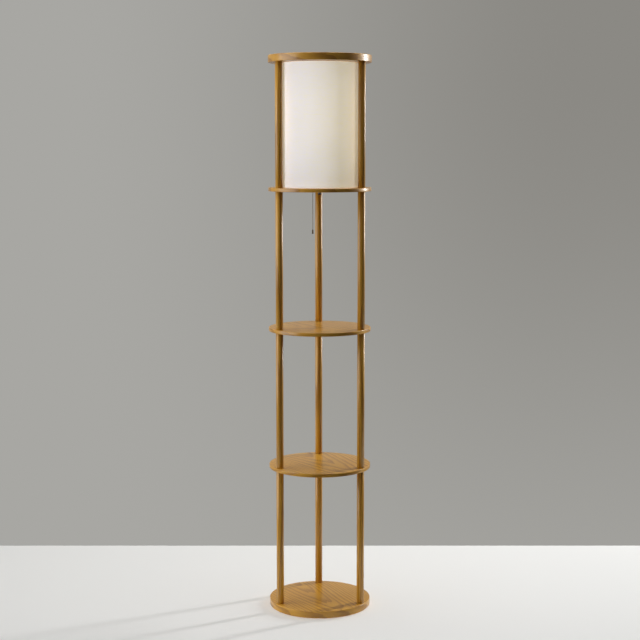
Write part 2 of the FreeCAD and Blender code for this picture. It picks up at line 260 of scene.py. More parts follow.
class Recipe:
    """A material in the making."""

    # A Mix node has sockets for numbers, vectors and colours under the same names. These are the colours'.
    MIX_FIRST, MIX_SECOND, MIX_RESULT = 6, 7, 2

    def __init__(self, name: str) -> None:
        """Starts an empty material.

        Args:
            name: The material's name.
        """
        self.material = bpy.data.materials.new(name)
        self.material.use_nodes = True
        self.nodes = self.material.node_tree.nodes
        self.links = self.material.node_tree.links
        self.nodes.clear()

    def add(self, kind: str, settings: dict | None = None, inputs: dict | None = None) -> bpy.types.Node:
        """Adds a node.

        Args:
            kind: The node's type.
            settings: Its own settings, such as a Math node's operation.
            inputs: Values or signals for its sockets, by name or number.

        Returns:
            The node.
        """
        node = self.nodes.new(kind)
        for name, value in (settings or {}).items():
            setattr(node, name, value)
        for key, value in (inputs or {}).items():
            if isinstance(value, Signal):
                self.links.new(value.socket, node.inputs[key])
            else:
                node.inputs[key].default_value = value
        return node

    def signal(self, node: bpy.types.Node, output: str | int = 0) -> Signal:
        """The signal of one of a node's outputs."""
        return Signal(self, node.outputs[output])

    def place(self) -> Signal:
        """The point on the piece, in the lamp's own frame."""
        return self.signal(self.add("ShaderNodeTexCoord"), "Object")

    def attribute(self, name: str) -> Signal:
        """A vector that the piece's mesh carries."""
        return self.signal(self.add("ShaderNodeAttribute", {"attribute_name": name}), "Vector")

    def noise(self, vector: Signal, scale: float, detail: float) -> Signal:
        """Noise from 0 to 1, mostly near a half."""
        return self.signal(self.add("ShaderNodeTexNoise", {}, {
            "Vector": vector, "Scale": scale, "Detail": detail}))

    def drawn_noise(self, vector: Signal, scales: Triple, detail: float) -> Signal:
        """Noise with a scale of its own along each axis."""
        drawn = self.add("ShaderNodeMapping", {}, {"Vector": vector, "Scale": scales})
        return self.noise(self.signal(drawn), 1.0, detail)

    def parts(self, vector: Signal) -> tuple[Signal, Signal, Signal]:
        """A vector's three numbers."""
        node = self.add("ShaderNodeSeparateXYZ", {}, {0: vector})
        return tuple(self.signal(node, k) for k in range(3))

    def mix(self, factor: Value, first: Paint, second: Paint) -> Signal:
        """A blend of two colours.

        Args:
            factor: How far it goes from the first to the second.
            first: The colour at 0.
            second: The colour at 1.

        Returns:
            The blend.
        """
        node = self.add("ShaderNodeMix", {"data_type": "RGBA"},
                        {"Factor": factor, self.MIX_FIRST: first, self.MIX_SECOND: second})
        return self.signal(node, self.MIX_RESULT)

    def bump(self, height: Signal, strength: float, distance: float) -> Signal:
        """A normal raised by a height signal."""
        return self.signal(self.add("ShaderNodeBump", {}, {
            "Height": height, "Strength": strength, "Distance": distance}))

    def shader(self, kind: str, inputs: dict | None = None) -> Signal:
        """A shader node's result."""
        return self.signal(self.add(kind, {}, inputs))

    def close(self, surface: Signal) -> bpy.types.Material:
        """Ends the recipe.

        Args:
            surface: The shader that the surface gets.

        Returns:
            The finished material.
        """
        self.add("ShaderNodeOutputMaterial", {}, {"Surface": surface})
        return self.material


@dataclass(frozen=True)
class Oak:
    """Flat-sawn oak with a golden satin lacquer, which follows the grain vector of each piece.

    Scales are in waves per metre: along the grain, across it, and up through the wood. Limits are the levels
    of a signal between which it takes effect, and shares are how far it does.
    """

    name: str = "oak"
    pale: Colour = tone(200, 148, 50)
    middle: Colour = tone(173, 119, 32)
    dark: Colour = tone(132, 84, 22)
    pore: Colour = tone(98, 58, 14)
    ring_width: float = 8.0 * MM
    heart_depth: float = 26 * MM
    taper: float = 0.075
    drift_scales: Triple = (3.2, 16.0, 16.0)
    drift_rings: float = 3.0
    ripple_scales: Triple = (14.0, 90.0, 90.0)
    ripple_rings: float = 0.5
    late_limits: Point = (0.3, 0.9)
    late_end: Point = (0.95, 1.0)
    late_share: float = 0.6
    late_dark_share: float = 0.15
    patch_scales: Triple = (5.0, 11.0, 11.0)
    patch_limits: Point = (0.35, 0.75)
    patch_share: float = 0.3
    fibre_scales: Triple = (22.0, 1300.0, 1300.0)
    fibre_limits: Point = (0.3, 0.7)
    fibre_share: float = 0.4
    pore_scales: Triple = (60.0, 2600.0, 2600.0)
    pore_limits: Point = (0.56, 0.72)
    pore_share: float = 0.25
    late_pore_share: float = 0.35
    pore_depth: float = 0.8
    relief_strength: float = 0.16
    relief_height: float = 0.12 * MM
    roughness: float = 0.36
    roughness_change: float = 0.12
    coat: float = 0.34
    coat_roughness: float = 0.15
    specular: float = 0.4

    def material(self) -> bpy.types.Material:
        """Builds the material: growth rings round a leaning heart line, pores along the grain, slow drifts.

        Returns:
            The material.
        """
        recipe = Recipe(self.name)
        grain = recipe.attribute(GRAIN)
        along, across, up = recipe.parts(grain)
        drift = recipe.drawn_noise(grain, self.drift_scales, detail=2.0)
        ripple = recipe.drawn_noise(grain, self.ripple_scales, detail=2.0)
        fibre = recipe.drawn_noise(grain, self.fibre_scales, detail=3.0)
        pores = recipe.drawn_noise(grain, self.pore_scales, detail=1.0).ramp(*self.pore_limits)
        patch = recipe.drawn_noise(grain, self.patch_scales, detail=1.0).ramp(*self.patch_limits)
        depth = up + along * self.taper + self.heart_depth
        radius = (across * across + depth * depth).root()
        ring = (radius / self.ring_width + drift * self.drift_rings + ripple * self.ripple_rings).fract()
        late = ring.ramp(*self.late_limits) * (1 - ring.ramp(*self.late_end))
        streaks = fibre.ramp(*self.fibre_limits) * self.fibre_share + self.late_dark_share
        colour = recipe.mix(late * self.late_share, self.pale, self.middle)
        colour = recipe.mix(patch * self.patch_share, colour, self.middle)
        colour = recipe.mix(late * streaks, colour, self.dark)
        colour = recipe.mix(pores * (self.pore_share + late * self.late_pore_share), colour, self.pore)
        relief = fibre - pores * self.pore_depth
        return recipe.close(recipe.shader("ShaderNodeBsdfPrincipled", {
            "Base Color": colour, "Roughness": self.roughness + (fibre - 0.5) * self.roughness_change,
            "Normal": recipe.bump(relief, self.relief_strength, self.relief_height),
            "Coat Weight": self.coat, "Coat Roughness": self.coat_roughness,
            "Specular IOR Level": self.specular}))


@dataclass(frozen=True)
class Linen:
    """Off-white linen laminated to the drum, with the bulb's light through it painted on as a glow.

    It follows the piece's UV, in metres: round the drum, then up. Shares are how far a signal darkens the
    cloth, and dims are how far it dims the glow.
    """

    name: str = "linen"
    thread: Colour = tone(238, 235, 230)
    shadow_thread: Colour = tone(222, 216, 206)
    threads_per_metre: float = 1500.0
    weave_share: float = 0.05
    weave_height: float = 0.4
    slub_scales: Triple = (14.0, 520.0, 1.0)
    slub_limits: Point = (0.52, 0.78)
    slub_share: float = 0.25
    slub_dim: float = 0.2
    cross_slub_scales: Triple = (520.0, 14.0, 1.0)
    cross_slub_limits: Point = (0.56, 0.8)
    cross_slub_strength: float = 0.8
    cloud_scale: float = 18.0
    cloud_share: float = 0.5
    cloud_dim: float = 0.2
    fleck_scales: Triple = (60.0, 210.0, 1.0)
    fleck_share: float = 0.9
    fleck_dim: float = 0.45
    even_share: float = 0.15
    relief_strength: float = 0.3
    relief_height: float = 0.15 * MM
    # Painted light: the bulb's light through the linen is an emission, brightest at glow_level of the drum's
    # height and fading over glow_reach.
    glow: Colour = tone(255, 235, 193)
    glow_strength: float = 0.37
    glow_level: float = 0.56
    glow_reach: float = 0.80
    roughness: float = 0.88
    specular: float = 0.15

    def material(self, height: float) -> bpy.types.Material:
        """Builds the material.

        Args:
            height: The drum's height, in metres.

        Returns:
            The material.
        """
        recipe = Recipe(self.name)
        layout = recipe.signal(recipe.add("ShaderNodeUVMap", {"uv_map": WEAVE}))
        round_way, level, _ = recipe.parts(layout)
        turn = math.tau * self.threads_per_metre
        weave = (round_way * turn).sine() * (level * turn).sine()
        slub = recipe.drawn_noise(layout, self.slub_scales, detail=2.0).ramp(*self.slub_limits)
        cross = recipe.drawn_noise(layout, self.cross_slub_scales, detail=2.0).ramp(*self.cross_slub_limits)
        slub = slub + cross * self.cross_slub_strength
        cloud = recipe.noise(layout, self.cloud_scale, detail=1.0) - 0.5
        fleck = recipe.drawn_noise(layout, self.fleck_scales, detail=2.0) - 0.5
        shade = (slub * self.slub_share + weave * self.weave_share + cloud * self.cloud_share
                 + fleck * self.fleck_share + self.even_share)
        # Painted light: the glow is brightest a little above the drum's middle and dimmer where slubs, clouds
        # and flecks thicken the cloth.
        offset = (level / height - self.glow_level) / self.glow_reach
        lit = 1 / (1 + offset * offset)
        painted_glow = lit * (1 - slub * self.slub_dim - cloud * self.cloud_dim - fleck * self.fleck_dim)
        relief = weave * self.weave_height + slub
        return recipe.close(recipe.shader("ShaderNodeBsdfPrincipled", {
            "Base Color": recipe.mix(shade, self.thread, self.shadow_thread), "Roughness": self.roughness,
            "Normal": recipe.bump(relief, self.relief_strength, self.relief_height),
            "Specular IOR Level": self.specular, "Emission Color": recipe.mix(painted_glow, BLACK, self.glow),
            "Emission Strength": self.glow_strength}))


@dataclass(frozen=True)
class Plain:
    """A finish of one colour with a fine mottle, for metal, plastic, paint and felt."""

    name: str
    colour: Colour
    roughness: float = 0.4
    metallic: float = 0.0
    mottle: float = 0.06
    mottle_scale: float = 260.0
    mottle_limits: Point = (0.4, 0.75)
    mottle_contrast: float = 4.0
    mottle_darkness: float = 0.72
    fuzz: float = 0.0
    fuzz_scale: float = 2080.0
    fuzz_height: float = 0.2 * MM
    coat: float = 0.0
    # A glow makes the finish give off its own colour: on the bulb it is the lamp's light, elsewhere it is
    # painted light.
    glow: float = 0.0

    def material(self) -> bpy.types.Material:
        """Builds the material.

        Returns:
            The material.
        """
        recipe = Recipe(self.name)
        place = recipe.place()
        spots = recipe.noise(place, self.mottle_scale, detail=3.0)
        darker = tuple(part * self.mottle_darkness for part in self.colour[:3]) + (1.0,)
        spotted = spots.ramp(*self.mottle_limits) * (self.mottle * self.mottle_contrast)
        inputs = {"Base Color": recipe.mix(spotted, self.colour, darker),
                  "Roughness": self.roughness + (spots - 0.5) * self.mottle,
                  "Metallic": self.metallic, "Coat Weight": self.coat}
        if self.fuzz:
            fibres = recipe.noise(place, self.fuzz_scale, detail=3.0)
            inputs["Normal"] = recipe.bump(fibres, self.fuzz, self.fuzz_height)
        if self.glow:
            inputs["Emission Color"] = self.colour
            inputs["Emission Strength"] = self.glow
        return recipe.close(recipe.shader("ShaderNodeBsdfPrincipled", inputs))


class Finishes:
    """Every finish of the lamp, each made once."""

    def __init__(self, shade_height: float) -> None:
        """Builds the materials.

        Args:
            shade_height: Height of the drum, for the glow.
        """
        self.by_slot: dict[Slot, bpy.types.Material] = {
            Slot.OAK: Oak().material(),
            Slot.LINEN: Linen().material(shade_height),
            Slot.FELT: Plain("felt", tone(70, 62, 54), 0.95, mottle=0.1, fuzz=0.9).material(),
            Slot.WHITE_WIRE: Plain("white_powder_coat", tone(224, 220, 210), 0.42).material(),
            Slot.ZINC_STEEL: Plain("black_zinc", tone(88, 86, 84), 0.42, 1.0, mottle=0.14).material(),
            Slot.SATIN_STEEL: Plain("satin_nickel", tone(190, 188, 184), 0.3, 1.0).material(),
            Slot.PHENOLIC: Plain("phenolic", tone(38, 34, 32), 0.34, coat=0.15).material(),
            Slot.NYLON: Plain("nylon", tone(44, 44, 45), 0.5).material(),
            Slot.CONTACT_BRASS: Plain("contact_brass", tone(214, 178, 104), 0.28, 1.0).material(),
            Slot.CHAIN_NICKEL: Plain("chain_nickel", tone(132, 126, 112), 0.3, 1.0).material(),
            Slot.FOB_BRONZE: Plain("fob_bronze", tone(76, 62, 40), 0.4, 1.0, mottle=0.12).material(),
            Slot.BULB_CAP: Plain("bulb_cap_metal", tone(205, 205, 202), 0.26, 1.0).material(),
            Slot.BULB_OPAL: Plain("bulb_opal", tone(255, 240, 214), 0.3, mottle=0.0, glow=1.1).material(),
        }
        # The liner's glow is painted light: the bulb's light falling on the inside of the drum.
        self.liner = Plain("shade_liner", tone(238, 232, 220), 0.6, glow=0.28).material()

    def of(self, slot: Slot) -> bpy.types.Material:
        """The material of a slot."""
        return self.by_slot[slot]


# ---- shaping -----------------------------------------------------------------------------
def arc(centre: Point, radius: float, start: float, end: float, steps: int) -> list[Point]:
    """Points on a round stretch of an outline.

    Args:
        centre: Its centre, as distance from the axis and level.
        radius: Its radius.
        start: The first angle, in degrees from outwards.
        end: The last angle.
        steps: The number of stretches.

    Returns:
        The points, ends included.
    """
    points = []
    for k in range(steps + 1):
        lean = math.radians(start + (end - start) * k / steps)
        points.append((centre[0] + radius * math.cos(lean), centre[1] + radius * math.sin(lean)))
    return points


class Shape:
    """A mesh in the making, shaped by bmesh operators in the lamp's own frame."""

    def __init__(self) -> None:
        """Starts empty."""
        self.bm = bmesh.new()

    def outline(self, points: Iterable[Vector], closed: bool) -> Edges:
        """Adds a row of points joined by edges.

        Args:
            points: The points, in order.
            closed: Whether the last one is joined to the first.

        Returns:
            The edges.
        """
        verts = [self.bm.verts.new(point) for point in points]
        pairs = list(zip(verts, verts[1:])) + ([(verts[-1], verts[0])] if closed else [])
        return [self.bm.edges.new(pair) for pair in pairs]

    def turn(self, profile: list[Point], steps: int, centre: Vector = ORIGIN, closed: bool = False,
             sweep: float = math.tau, start: float = 0.0) -> None:
        """Turns a profile about the upright line through a point.

        Args:
            profile: Distances from the axis and levels.
            steps: Stretches round the turn.
            centre: A point on the axis.
            closed: Whether the profile is a loop.
            sweep: The angle of the turn, a full one unless given.
            start: The angle at which it starts.
        """
        out = Vector((math.cos(start), math.sin(start), 0.0))
        axis = Vector((centre.x, centre.y, 0.0))
        edges = self.outline([axis + out * radius + UP * level for radius, level in profile], closed)
        verts = list(dict.fromkeys(vert for edge in edges for vert in edge.verts))
        bmesh.ops.spin(self.bm, geom=verts + edges, cent=axis, axis=UP, angle=sweep, steps=steps,
                       use_merge=math.isclose(sweep, math.tau))
        self.weld()

    def ring(self, radius: float, level: float, steps: int, centre: Vector, filled: bool = False) -> Edges:
        """Adds a circle.

        Args:
            radius: Its radius.
            level: Its level.
            steps: The number of its edges.
            centre: A point on its axis.
            filled: Whether a face fills it.

        Returns:
            Its edges.
        """
        place = Matrix.Translation((centre.x, centre.y, level))
        made = bmesh.ops.create_circle(self.bm, cap_ends=filled, radius=radius, segments=steps, matrix=place)
        return list(dict.fromkeys(edge for vert in made["verts"] for edge in vert.link_edges))

    def tunnel(self, radius: float, bottom: float, top: float, steps: int, centre: Vector,
               blind: bool = False) -> tuple[Edges, Edges]:
        """Adds the wall of a bore.

        Args:
            radius: Its radius.
            bottom: Level of its lower end.
            top: Level of its upper end.
            steps: Stretches round it.
            centre: A point on its axis.
            blind: Whether a face closes its upper end.

        Returns:
            Its lower and upper edges.
        """
        low = self.ring(radius, bottom, steps, centre)
        high = self.ring(radius, top, steps, centre, filled=blind)
        bmesh.ops.bridge_loops(self.bm, edges=low + high)
        return low, high

    def fill(self, edges: Edges) -> None:
        """Fills the flat area between several loops."""
        bmesh.ops.triangle_fill(self.bm, use_beauty=True, use_dissolve=False, edges=edges)

    def weld(self, distance: float = 0.0001 * MM) -> None:
        """Merges points that lie together."""
        bmesh.ops.remove_doubles(self.bm, verts=self.bm.verts[:], dist=distance)

    def ease(self, width: float, sharper_than: float = 35.0) -> None:
        """Rounds the sharp edges.

        Args:
            width: How far from an edge the rounding starts.
            sharper_than: The angle, in degrees, above which two faces meet sharply.
        """
        limit = math.radians(sharper_than)
        edges = [edge for edge in self.bm.edges
                 if len(edge.link_faces) == 2 and edge.calc_face_angle(0.0) > limit]
        bmesh.ops.bevel(self.bm, geom=edges, offset=width, offset_type="OFFSET", segments=2,
                        profile=0.5, affect="EDGES", clamp_overlap=True, material=-1)

    def piece(self, name: str, material: bpy.types.Material, smooth_below: float = 32.0) -> bpy.types.Object:
        """Ends the shape as an object.

        Args:
            name: The object's name.
            material: Its material.
            smooth_below: Edges sharper than this angle, in degrees, stay crisp.

        Returns:
            The object, linked to the scene.
        """
        bmesh.ops.recalc_face_normals(self.bm, faces=self.bm.faces[:])
        mesh = bpy.data.meshes.new(name)
        self.bm.to_mesh(mesh)
        self.bm.free()
        mesh.materials.append(material)
        mesh.polygons.foreach_set("use_smooth", [True] * len(mesh.polygons))
        mesh.set_sharp_from_angle(angle=math.radians(smooth_below))
        obj = bpy.data.objects.new(name, mesh)
        bpy.context.scene.collection.objects.link(obj)
        return obj


def solid_of(node: str) -> Shape:
    """A shape that starts as a CAD node's mesh, welded and with its flat areas made whole.

    Args:
        node: The CAD node.

    Returns:
        The shape.
    """
    shape = Shape()
    shape.bm.from_mesh(bpy.data.objects[node].data)
    shape.weld(CAD_WELD)
    bmesh.ops.dissolve_limit(shape.bm, angle_limit=math.radians(CAD_FLATNESS), verts=shape.bm.verts[:],
                             edges=shape.bm.edges[:])
    return shape


def seat(obj: bpy.types.Object, body: Body, slot: Slot, *nodes: str) -> bpy.types.Object:
    """Puts a piece on its body and hides the CAD nodes that it stands for.

    Args:
        obj: The piece.
        body: The body that it rides on.
        slot: Its material slot; not used.
        nodes: The CAD nodes that it stands for.

    Returns:
        The piece.
    """
    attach(obj, body.value)
    if nodes:
        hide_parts(*nodes)
    log.info("%-20s %6d faces, on %s", obj.name, len(obj.data.polygons), body.value)
    return obj


# ---- boards and posts --------------------------------------------------------------------
@dataclass
class Board:
    """One round board with eased rims.

    Holes are given as centre and radius, and counterbores with a depth. A face counts as flat where the
    upright part of its normal is above the flat limit.
    """

    node: str
    grain_angle: float
    cut: Vector
    easing: float = 1.6 * MM
    bore_radius: float = 0.0
    holes: list[tuple[Vector, float]] = field(default_factory=list)
    counterbores: list[tuple[Vector, float, float]] = field(default_factory=list)
    rim_steps: int = 160
    easing_steps: int = 4
    bore_steps: int = 32
    flat_limit: float = 0.9

    def build(self, finishes: Finishes) -> bpy.types.Object:
        """Builds and dresses the board.

        Args:
            finishes: The lamp's finishes.

        Returns:
            The board.
        """
        extent = Extent.of(self.node)
        shape = Shape()
        loops = [self._rim(shape, extent, extent.radius, outwards=True)]
        if self.bore_radius:
            loops.append(self._rim(shape, extent, self.bore_radius, outwards=False))
        for centre, radius in self.holes:
            loops.append(shape.tunnel(radius, extent.bottom, extent.top, self.bore_steps, centre))
        for centre, radius, depth in self.counterbores:
            bottom = extent.bottom
            low, _ = shape.tunnel(radius, bottom, bottom + depth, self.bore_steps, centre, blind=True)
            loops.append((low, []))
        shape.fill([edge for low, _ in loops for edge in low])
        shape.fill([edge for _, high in loops for edge in high])
        shape.weld()
        obj = shape.piece(self.node + "_board", finishes.of(Slot.OAK))
        self._lay_grain(obj, extent)
        return seat(obj, Body.LAMP, Slot.OAK, self.node)

    def _rim(self, shape: Shape, extent: Extent, radius: float, outwards: bool) -> tuple[Edges, Edges]:
        """Adds a rounded rim, outside or round a bore.

        Args:
            shape: The board's shape.
            extent: The CAD board's extent.
            radius: The rim's radius.
            outwards: Whether it faces outwards.

        Returns:
            Its lower and upper edges.
        """
        way = 1 if outwards else -1
        inset = radius - way * self.easing
        start, end = (-90, 0) if outwards else (270, 180)
        easing, steps = self.easing, self.easing_steps
        profile = arc((inset, extent.bottom + easing), easing, start, end, steps)
        profile += arc((inset, extent.top - easing), easing, end, end + (end - start), steps)
        before = set(shape.bm.edges)
        shape.turn(profile, self.rim_steps)
        made = [edge for edge in shape.bm.edges if edge not in before and edge.is_boundary]
        low = [edge for edge in made if edge.verts[0].co.z < extent.centre.z]
        high = [edge for edge in made if edge.verts[0].co.z > extent.centre.z]
        return low, high

    def _lay_grain(self, obj: bpy.types.Object, extent: Extent) -> None:
        """Lays the grain straight across the flat faces, and round the board on its edge, as on edge banding.

        Args:
            obj: The board.
            extent: The CAD board's extent.
        """
        turn = math.radians(self.grain_angle)
        along = Vector((math.cos(turn), math.sin(turn), 0.0))
        across = UP.cross(along)
        mesh = obj.data
        data = mesh.attributes.new(GRAIN, "FLOAT_VECTOR", "CORNER").data
        for face in mesh.polygons:
            heading = math.atan2(face.center.x, -face.center.y)
            for loop in face.loop_indices:
                point = mesh.vertices[mesh.loops[loop].vertex_index].co - UP * extent.centre.z
                if abs(face.normal.z) > self.flat_limit:
                    place = Vector((point.dot(along), point.dot(across), point.z))
                else:
                    way = unwrap(math.atan2(point.x, -point.y), heading)
                    place = Vector((way * extent.radius, point.z, 0.0))
                data[loop].vector = place + self.cut


@dataclass
class Dowel:
    """One dowel of a post. Its number sets how it is turned and which place in the wood it is cut from."""

    node: str
    number: int
    easing: float = 0.5 * MM
    steps: int = 40
    turn_each: float = 47.0
    cut_along: float = 0.37
    cut_across: float = 6.0 * MM
    cut_up: float = 4.0 * MM
    straightness: float = 0.3

    def build(self, finishes: Finishes) -> bpy.types.Object:
        """Builds and dresses the dowel.

        Args:
            finishes: The lamp's finishes.

        Returns:
            The dowel.
        """
        extent = Extent.of(self.node)
        radius, easing = extent.radius, self.easing
        profile = [(0.0, extent.bottom), (radius - easing, extent.bottom), (radius, extent.bottom + easing),
                   (radius, extent.top - easing), (radius - easing, extent.top), (0.0, extent.top)]
        shape = Shape()
        shape.turn(profile, self.steps, extent.centre)
        obj = shape.piece(self.node + "_dowel", finishes.of(Slot.OAK), smooth_below=50)
        self._lay_grain(obj, extent)
        return seat(obj, Body.LAMP, Slot.OAK, self.node)

    def _lay_grain(self, obj: bpy.types.Object, extent: Extent) -> None:
        """Lays the grain along the dowel, with its changes drawn out by the straightness.

        Args:
            obj: The dowel.
            extent: The CAD dowel's extent.
        """
        heading = math.radians(self.turn_each * self.number)
        across = Vector((math.cos(heading), math.sin(heading), 0.0))
        up = UP.cross(across)
        axis = Vector((extent.centre.x, extent.centre.y, 0.0))
        middle = Vector((0.0, axis.dot(across), axis.dot(up)))
        cut = Vector((self.cut_along * self.number, self.cut_across * (self.number % 3),
                      self.cut_up * (self.number % 5)))
        data = obj.data.attributes.new(GRAIN, "FLOAT_VECTOR", "POINT").data
        for vert, item in zip(obj.data.vertices, data):
            point = Vector((vert.co.z * self.straightness, vert.co.dot(across), vert.co.dot(up)))
            item.vector = point + (cut - middle)


@dataclass
class Timber:
    """The five boards and the twelve dowels."""

    bolt_recess_radius: float = 8.0 * MM
    bolt_recess_depth: float = 6.0 * MM
    chain_hole_radius: float = 4.0 * MM
    ring_bore_radius: float = 104.0 * MM
    thin_easing: float = 1.0 * MM
    stages: tuple[str, ...] = ("lower", "middle", "upper", "shade")
    sides: tuple[str, ...] = ("back", "left", "right")

    def build(self, finishes: Finishes) -> None:
        """Builds every wooden piece.

        Args:
            finishes: The lamp's finishes.
        """
        posts = [Extent.of(f"lower_post_{side}").centre for side in self.sides]
        recesses = [(post, self.bolt_recess_radius, self.bolt_recess_depth) for post in posts]
        chain = Extent.of("upper_chain").centre
        boards = [
            Board("base_disc", -62, Vector((0.31, 0.012, 0.0)), counterbores=recesses),
            Board("lower_shelf", -58, Vector((0.92, -0.02, 0.004)), self.thin_easing),
            Board("upper_shelf", -46, Vector((1.73, 0.035, -0.004)), self.thin_easing),
            Board("shade_plate", -40, Vector((2.41, 0.01, 0.0)), self.thin_easing,
                  holes=[(chain, self.chain_hole_radius)]),
            Board("top_ring", -35, Vector((3.37, 0.03, 0.0)), bore_radius=self.ring_bore_radius),
        ]
        dowels = [f"{stage}_post_{side}" for stage in self.stages for side in self.sides]
        for board in boards:
            board.build(finishes)
        for number, node in enumerate(dowels):
            Dowel(node, number).build(finishes)


# ---- shade -------------------------------------------------------------------------------
@dataclass
class Shade:
    """The linen drum with its wire rings and its fitter."""

    wall: float = 0.8 * MM
    wire_radius: float = 1.5 * MM
    wire_sides: int = 12
    wire_steps: int = 144
    hem_height: float = 7.0 * MM
    hem_thickness: float = 0.25 * MM
    hem_steps: int = 6
    seam_width: float = 9.0 * MM
    seam_angle: float = 74.0
    seam_steps: int = 6
    arm_easing: float = 0.35 * MM
    liner_depth: float = 0.2 * MM
    steps: int = 192

    def build(self, finishes: Finishes) -> None:
        """Builds the drum, the two wire rings and the arms.

        Args:
            finishes: The lamp's finishes.
        """
        extent = Extent.of("shade_drum")
        drum = self.drum(extent, finishes)
        top_wire = self.wire("shade_top_wire", "top_wire_ring", finishes, "shade_top_wire")
        bottom_wire = self.wire("shade_spider", "bottom_wire_ring", finishes)
        self.arms(finishes)

    def drum(self, extent: Extent, finishes: Finishes) -> bpy.types.Object:
        """Builds the drum: linen outside, a smooth liner inside, rolled hems and a lapped seam.

        Args:
            extent: The CAD drum's extent.
            finishes: The lamp's finishes.

        Returns:
            The drum.
        """
        bottom, top = extent.bottom, extent.top
        outer, inner = extent.radius, extent.radius - self.wall
        proud = outer + self.hem_thickness
        roll = self.wall / 2
        middle = outer - roll
        profile = [(inner, bottom + roll)]
        profile += arc((middle, bottom + roll), roll, 180, 360, self.hem_steps)[1:]
        profile += [(proud, bottom + roll * 2), (proud, bottom + self.hem_height),
                    (outer, bottom + self.hem_height + self.hem_thickness)]
        profile += [(outer, top - self.hem_height - self.hem_thickness),
                    (proud, top - self.hem_height), (proud, top - roll * 2)]
        profile += arc((middle, top - roll), roll, 0, 180, self.hem_steps)
        shape = Shape()
        shape.turn(profile, self.steps, closed=True)
        seam = [(middle, bottom + self.wall), (proud, bottom + self.wall),
                (proud, top - self.wall), (middle, top - self.wall)]
        shape.turn(seam, self.seam_steps, closed=True, sweep=self.seam_width / outer,
                   start=math.radians(self.seam_angle))
        ends = [edge for edge in shape.bm.edges if edge.is_boundary]
        bmesh.ops.holes_fill(shape.bm, edges=ends, sides=len(seam))
        obj = shape.piece("linen_drum", finishes.of(Slot.LINEN), smooth_below=60)
        obj.data.materials.append(finishes.liner)
        self.lay_weave(obj, extent)
        return seat(obj, Body.LAMP, Slot.LINEN, "shade_drum")

    def lay_weave(self, obj: bpy.types.Object, extent: Extent) -> None:
        """Gives the drum its UV in metres, and its inner faces the liner.

        Args:
            obj: The drum.
            extent: The CAD drum's extent.
        """
        mesh = obj.data
        layer = mesh.uv_layers.new(name=WEAVE)
        for face in mesh.polygons:
            heading = math.atan2(face.center.y, face.center.x)
            if face.center.xy.length < extent.radius - self.wall + self.liner_depth:
                face.material_index = 1
            for loop in face.loop_indices:
                point = mesh.vertices[mesh.loops[loop].vertex_index].co
                turn = unwrap(math.atan2(point.y, point.x), heading)
                layer.data[loop].uv = (turn * extent.radius, point.z - extent.bottom)

    def wire(self, node: str, name: str, finishes: Finishes, *stands_for: str) -> bpy.types.Object:
        """Builds a ring of round wire inside the drum.

        Args:
            node: The CAD node that holds the ring.
            name: The piece's name.
            finishes: The lamp's finishes.
            stands_for: The CAD nodes that it takes the place of.

        Returns:
            The ring.
        """
        extent = Extent.of(node)
        centre = (extent.radius - self.wire_radius, extent.bottom + self.wire_radius)
        shape = Shape()
        outline = arc(centre, self.wire_radius, 0, 360, self.wire_sides)[:-1]
        shape.turn(outline, self.wire_steps, closed=True)
        obj = shape.piece(name, finishes.of(Slot.WHITE_WIRE), smooth_below=80)
        return seat(obj, Body.LAMP, Slot.WHITE_WIRE, *stands_for)

    def arms(self, finishes: Finishes) -> bpy.types.Object:
        """Builds the fitter: the washer with its three flat arms, whose ends are welded on the lower ring.

        Args:
            finishes: The lamp's finishes.

        Returns:
            The fitter.
        """
        shape = solid_of("shade_spider")
        reach = Extent.of("shade_spider").radius - self.wire_radius
        outside = [vert for vert in shape.bm.verts if vert.co.xy.length > reach]
        bmesh.ops.delete(shape.bm, geom=outside, context="VERTS")
        shape.ease(self.arm_easing)
        obj = shape.piece("shade_fitter", finishes.of(Slot.WHITE_WIRE))
        return seat(obj, Body.LAMP, Slot.WHITE_WIRE, "shade_spider")


# ---- foot, lampholder and bulb -----------------------------------------------------------
@dataclass(frozen=True)
class Fitting:
    """A small rigid piece whose CAD form is right and whose edges get eased."""

    node: str
    slot: Slot
    easing: float
    body: Body = Body.LAMP

    def build(self, finishes: Finishes) -> bpy.types.Object:
        """Builds the piece from its CAD node.

        Args:
            finishes: The lamp's finishes.

        Returns:
            The piece.
        """
        shape = solid_of(self.node)
        shape.ease(self.easing)
        obj = shape.piece(self.node + "_eased", finishes.of(self.slot))
        return seat(obj, self.body, self.slot, self.node)


@dataclass
class Foot:
    """The felt pads under the base, and the bolts in it."""

    fittings: tuple[Fitting, ...] = (
        Fitting("floor_pads", Slot.FELT, 0.8 * MM),
        Fitting("base_bolts", Slot.ZINC_STEEL, 0.35 * MM),
    )

    def build(self, finishes: Finishes) -> None:
        """Builds the pads and the bolts."""
        for fitting in self.fittings:
            fitting.build(finishes)


